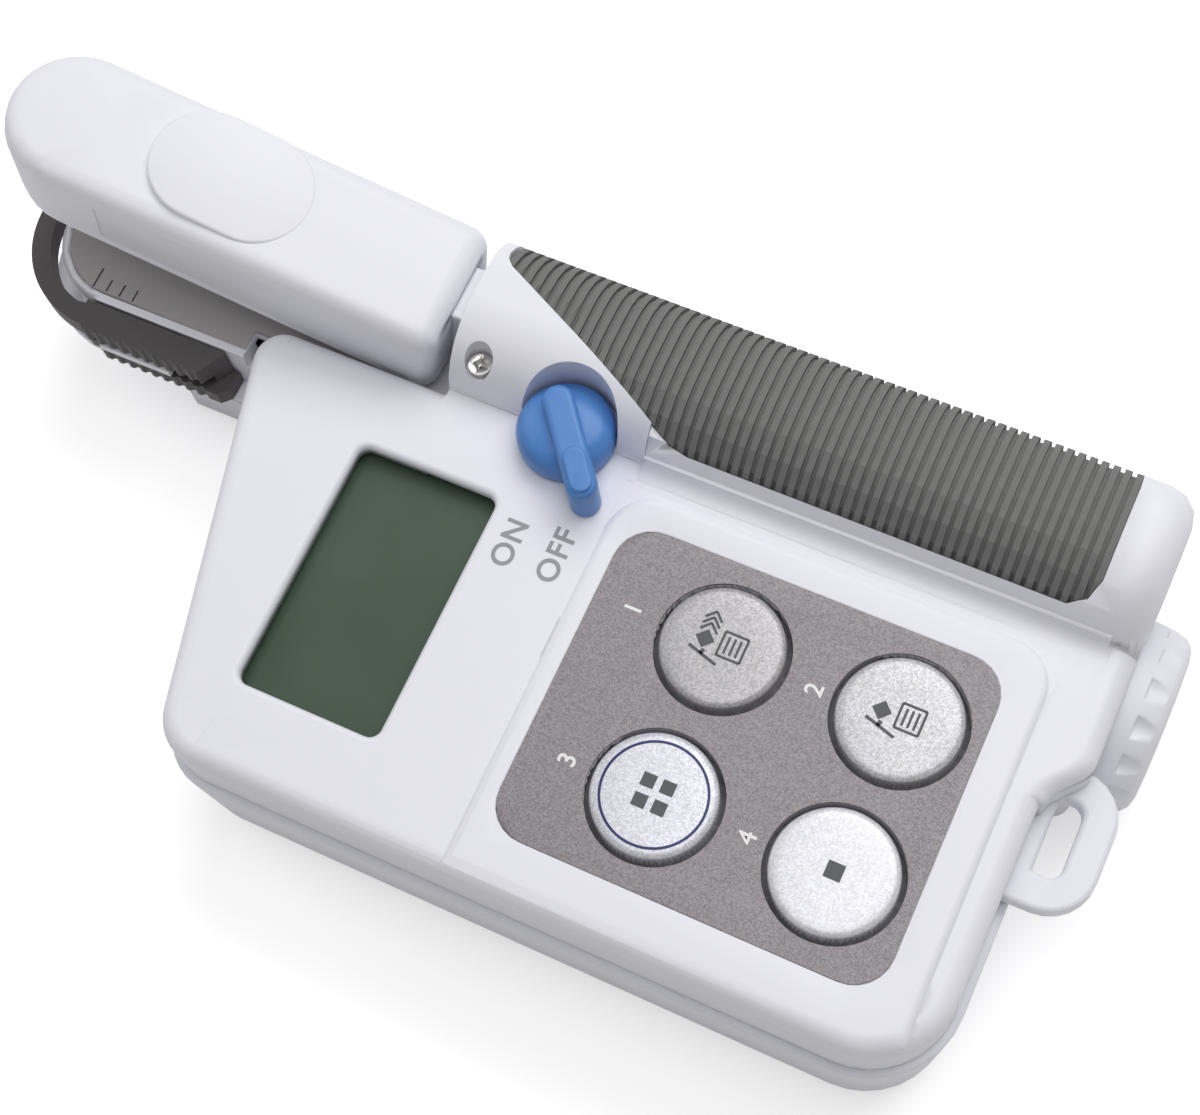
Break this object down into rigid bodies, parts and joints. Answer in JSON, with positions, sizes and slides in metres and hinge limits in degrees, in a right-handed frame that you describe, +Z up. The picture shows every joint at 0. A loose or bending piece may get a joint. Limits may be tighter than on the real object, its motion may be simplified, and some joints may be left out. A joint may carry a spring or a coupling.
{
  "type": "handheld chlorophyll meter",
  "caption": "Handheld leaf meter: a sprung measuring arm over a sample platform, with display, keypad, ribbed grip, lever switch, battery cap and strap loop.",
  "frame": {"origin": "centre of the bounding box in plan, at the flat back that the meter lies on", "axes": "+X towards the battery cap, -X towards the measuring head, +Y towards the hand grip, +Z up out of the key face"},
  "size_m": [0.1652, 0.0784, 0.0487],
  "materials": {
    "white_plastic": "fine satin moulded housing",
    "grip_rubber": "matt ribbed grip",
    "blue_plastic": "satin lever",
    "lens": "clear window",
    "lcd": "blank liquid crystal panel",
    "overlay": "metallic grey printed overlay",
    "key_silver": "silver glitter key",
    "dark_plastic": "satin dark grey",
    "black_rubber": "matt",
    "steel": "bright fastener",
    "circuit_board": "green solder mask",
    "inner_plastic": "plain moulding",
    "cell_jacket": "plain battery jacket",
    "red_window": "deep red optical window"
  },
  "bodies": {
    "meter_body": {"rear_cover": "white_plastic", "front_cover": "white_plastic", "hinge_cover": "white_plastic", "grip_cover": "grip_rubber", "cover_screw": "steel", "case_screws": "steel", "display_lens": "lens", "lcd_panel": "lcd", "lcd_frame": "inner_plastic", "keypad_overlay": "overlay", "keypad_mat": "inner_plastic", "main_board": "circuit_board", "buzzer": "dark_plastic", "switch_base": "dark_plastic", "battery_tube": "dark_plastic", "battery_cells": "cell_jacket", "battery_spring": "steel", "strap_loop": "white_plastic", "receptor_plate": "dark_plastic", "receptor_gasket": "black_rubber", "receptor_window": "red_window", "photodiode": "dark_plastic", "receptor_board": "circuit_board", "hinge_bracket": "white_plastic", "hinge_pin": "steel", "return_spring": "steel"},
    "measuring_arm": {"arm_cover": "white_plastic", "arm_base": "white_plastic", "arm_screws": "steel", "led_board": "circuit_board", "led_block": "dark_plastic", "led_window": "red_window", "led_gasket": "black_rubber"},
    "lever": {"power_lever": "blue_plastic", "switch_rotor": "inner_plastic"},
    "clear_all": {"key_clear_all": "key_silver"},
    "delete_one": {"key_delete_one": "key_silver"},
    "average": {"key_average": "key_silver"},
    "recall": {"key_recall": "key_silver"},
    "stop": {"depth_stop": "dark_plastic"},
    "cap_carrier": {"cap_contact": "steel"},
    "cap": {"battery_cap": "white_plastic", "cap_seal": "black_rubber"}
  },
  "joints": [
    {"name": "arm_hinge", "type": "hinge", "parent": "meter_body", "child": "measuring_arm", "pos_m": [-0.0226, 0.0283, 0.0285], "axis": [0, 1, 0], "range_deg": [-9.75, 0], "stiffness_Nm_per_rad": 0.15, "springref_deg": 11.46},
    {"name": "power_switch", "type": "hinge", "parent": "meter_body", "child": "lever", "pos_m": [0.0019, 0.0183, 0.03], "axis": [0, 0, 1], "range_deg": [-40, 0]},
    {"name": "clear_all_press", "type": "slide", "parent": "meter_body", "child": "clear_all", "axis": [0, 0, -1], "range_m": [0, 0.0005], "stiffness_N_per_m": 400, "springref_m": -0.001},
    {"name": "delete_one_press", "type": "slide", "parent": "meter_body", "child": "delete_one", "axis": [0, 0, -1], "range_m": [0, 0.0005], "stiffness_N_per_m": 400, "springref_m": -0.001},
    {"name": "average_press", "type": "slide", "parent": "meter_body", "child": "average", "axis": [0, 0, -1], "range_m": [0, 0.0005], "stiffness_N_per_m": 400, "springref_m": -0.001},
    {"name": "recall_press", "type": "slide", "parent": "meter_body", "child": "recall", "axis": [0, 0, -1], "range_m": [0, 0.0005], "stiffness_N_per_m": 400, "springref_m": -0.001},
    {"name": "depth_stop_slide", "type": "slide", "parent": "meter_body", "child": "stop", "axis": [-1, 0, 0], "range_m": [0, 0.006]},
    {"name": "cap_slide", "type": "slide", "parent": "meter_body", "child": "cap_carrier", "axis": [1, 0, 0], "range_m": [0, 0.02]},
    {"name": "cap_turn", "type": "hinge", "parent": "cap_carrier", "child": "cap", "pos_m": [0.0769, 0.017, 0.0132], "axis": [1, 0, 0], "range_deg": [-60, 0]}
  ]
}
